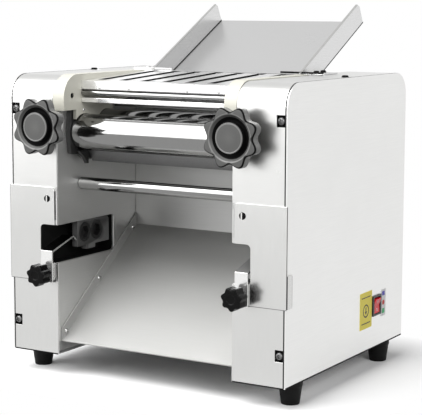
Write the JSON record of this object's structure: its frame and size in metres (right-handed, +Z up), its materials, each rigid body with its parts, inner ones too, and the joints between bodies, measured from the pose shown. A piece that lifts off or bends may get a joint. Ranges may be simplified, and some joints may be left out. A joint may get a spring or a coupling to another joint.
{
  "type": "electric pasta machine",
  "caption": "Electric dough sheeter with paired smooth rollers, gap knobs, a feed chute, a delivery ramp and a cutter bay with swing clamps.",
  "frame": {"origin": "centre of the machine's footprint box, on the surface that its feet stand on", "axes": "+Z up, +Y from the knobs towards the rear cover, +X towards the side with the switch"},
  "size_m": [0.375, 0.3796, 0.4379],
  "materials": {
    "frame_steel": "plain sheet steel, dull",
    "panel_steel": "stainless sheet, fine brushed",
    "cover_steel": "stainless sheet, bright satin",
    "roller_steel": "polished",
    "machined_steel": "turned and milled",
    "motor_aluminium": "painted grey",
    "pulley_aluminium": "turned",
    "cream_plastic": "moulded, semi-gloss",
    "grey_plastic": "moulded, satin",
    "black_plastic": "moulded, satin",
    "red_plastic": "translucent red, glossy",
    "foot_rubber": "moulded rubber"
  },
  "bodies": {
    "housing": {"base_frame": "frame_steel", "right_frame_plate": "frame_steel", "left_frame_plate": "frame_steel", "right_cover": "cover_steel", "left_cover": "cover_steel", "right_front_plate": "panel_steel", "left_front_plate": "panel_steel", "right_lower_plate": "panel_steel", "left_lower_plate": "panel_steel", "right_side_panel": "panel_steel", "left_side_panel": "panel_steel", "right_window_liner": "panel_steel", "left_window_liner": "panel_steel", "rear_cover": "panel_steel", "ramp": "panel_steel", "inner_panel": "panel_steel", "chute": "cover_steel", "tie_rod": "roller_steel", "right_front_foot": "foot_rubber", "left_front_foot": "foot_rubber", "right_rear_foot": "foot_rubber", "left_rear_foot": "foot_rubber", "right_cheek": "cream_plastic", "left_cheek": "cream_plastic", "guard_cover": "cover_steel", "guard_rod": "roller_steel", "guard_strip": "roller_steel", "right_rear_bearing": "machined_steel", "left_rear_bearing": "machined_steel", "rear_scraper": "roller_steel", "cutter_block": "grey_plastic", "drive_belt": "foot_rubber", "motor": "motor_aluminium", "switch_bezel": "black_plastic", "cable_gland": "black_plastic"},
    "front_carriage": {"right_front_bearing": "machined_steel", "left_front_bearing": "machined_steel", "right_side_guide": "black_plastic", "left_side_guide": "black_plastic", "front_scraper": "roller_steel"},
    "front_roller_set": {"front_roller": "roller_steel", "front_roller_gear": "machined_steel"},
    "rear_roller_set": {"rear_roller": "roller_steel", "rear_roller_gear": "machined_steel", "drive_gear": "machined_steel"},
    "idler": {"idler_gear": "machined_steel"},
    "rear_socket": {"rear_drive_socket": "machined_steel"},
    "front_socket": {"front_drive_socket": "machined_steel"},
    "countershaft": {"jackshaft": "machined_steel", "driven_pulley": "pulley_aluminium"},
    "motor_rotor": {"motor_pulley": "machined_steel"},
    "left_gap_knob": {"left_knob": "grey_plastic", "left_spindle": "machined_steel"},
    "right_gap_knob": {"right_knob": "grey_plastic", "right_spindle": "machined_steel"},
    "left_lever": {"left_clamp_lever": "roller_steel"},
    "right_lever": {"right_clamp_lever": "roller_steel"},
    "left_clamp_nut": {"left_clamp_knob": "black_plastic"},
    "right_clamp_nut": {"right_clamp_knob": "black_plastic"},
    "rocker": {"switch_rocker": "red_plastic"}
  },
  "joints": [
    {"name": "rear_roller_spin", "type": "hinge", "parent": "housing", "child": "rear_roller_set", "pos_m": [-0.00097, -0.07698, 0.2918], "axis": [1, 0, 0], "continuous": true},
    {"name": "left_knob_turn", "type": "hinge", "parent": "housing", "child": "left_gap_knob", "pos_m": [-0.12998, -0.16385, 0.2976], "axis": [0, 1, 0], "range_deg": [-576, 240]},
    {"name": "right_knob_turn", "type": "hinge", "parent": "housing", "child": "right_gap_knob", "pos_m": [0.12802, -0.16385, 0.2976], "axis": [0, 1, 0], "range_deg": [-576, 240]},
    {"name": "carriage_slide", "type": "slide", "parent": "housing", "child": "front_carriage", "axis": [0, 1, 0], "range_m": [-0.0024, 0.001]},
    {"name": "front_roller_spin", "type": "hinge", "parent": "front_carriage", "child": "front_roller_set", "pos_m": [-0.00097, -0.12185, 0.2883], "axis": [1, 0, 0], "continuous": true},
    {"name": "idler_spin", "type": "hinge", "parent": "housing", "child": "idler", "pos_m": [-0.00097, -0.07698, 0.2228], "axis": [1, 0, 0], "continuous": true},
    {"name": "rear_socket_spin", "type": "hinge", "parent": "housing", "child": "rear_socket", "pos_m": [-0.00097, -0.07698, 0.1643], "axis": [1, 0, 0], "continuous": true},
    {"name": "front_socket_spin", "type": "hinge", "parent": "housing", "child": "front_socket", "pos_m": [-0.00097, -0.10098, 0.1643], "axis": [1, 0, 0], "continuous": true},
    {"name": "countershaft_spin", "type": "hinge", "parent": "housing", "child": "countershaft", "pos_m": [-0.00097, -0.03895, 0.25634], "axis": [1, 0, 0], "continuous": true},
    {"name": "motor_spin", "type": "hinge", "parent": "housing", "child": "motor_rotor", "pos_m": [-0.00097, 0.07115, 0.091], "axis": [1, 0, 0], "continuous": true},
    {"name": "right_lever_swing", "type": "hinge", "parent": "housing", "child": "right_lever", "pos_m": [0.13103, -0.16385, 0.1235], "axis": [0, -1, 0], "range_deg": [0, 100]},
    {"name": "left_lever_swing", "type": "hinge", "parent": "housing", "child": "left_lever", "pos_m": [-0.13298, -0.16385, 0.1235], "axis": [0, 1, 0], "range_deg": [0, 100]},
    {"name": "right_clamp_turn", "type": "hinge", "parent": "housing", "child": "right_clamp_nut", "pos_m": [0.13103, -0.16385, 0.1235], "axis": [0, -1, 0], "range_deg": [0, 720]},
    {"name": "left_clamp_turn", "type": "hinge", "parent": "housing", "child": "left_clamp_nut", "pos_m": [-0.13298, -0.16385, 0.1235], "axis": [0, -1, 0], "range_deg": [0, 720]},
    {"name": "rocker_tilt", "type": "hinge", "parent": "housing", "child": "rocker", "pos_m": [0.18002, 0.07045, 0.0775], "axis": [0, -1, 0], "range_deg": [0, 14]}
  ],
  "couplings": [
    {"joint": "front_roller_spin", "follows": "rear_roller_spin", "ratio": -1},
    {"joint": "idler_spin", "follows": "rear_roller_spin", "ratio": -0.48387},
    {"joint": "rear_socket_spin", "follows": "rear_roller_spin", "ratio": 1.875},
    {"joint": "front_socket_spin", "follows": "rear_roller_spin", "ratio": -1.875},
    {"joint": "countershaft_spin", "follows": "rear_roller_spin", "ratio": -3.3333},
    {"joint": "motor_spin", "follows": "rear_roller_spin", "ratio": -6.3333},
    {"joint": "left_knob_turn", "follows": "carriage_slide", "rad_per_m": 4188.8},
    {"joint": "right_knob_turn", "follows": "carriage_slide", "rad_per_m": 4188.8}
  ]
}
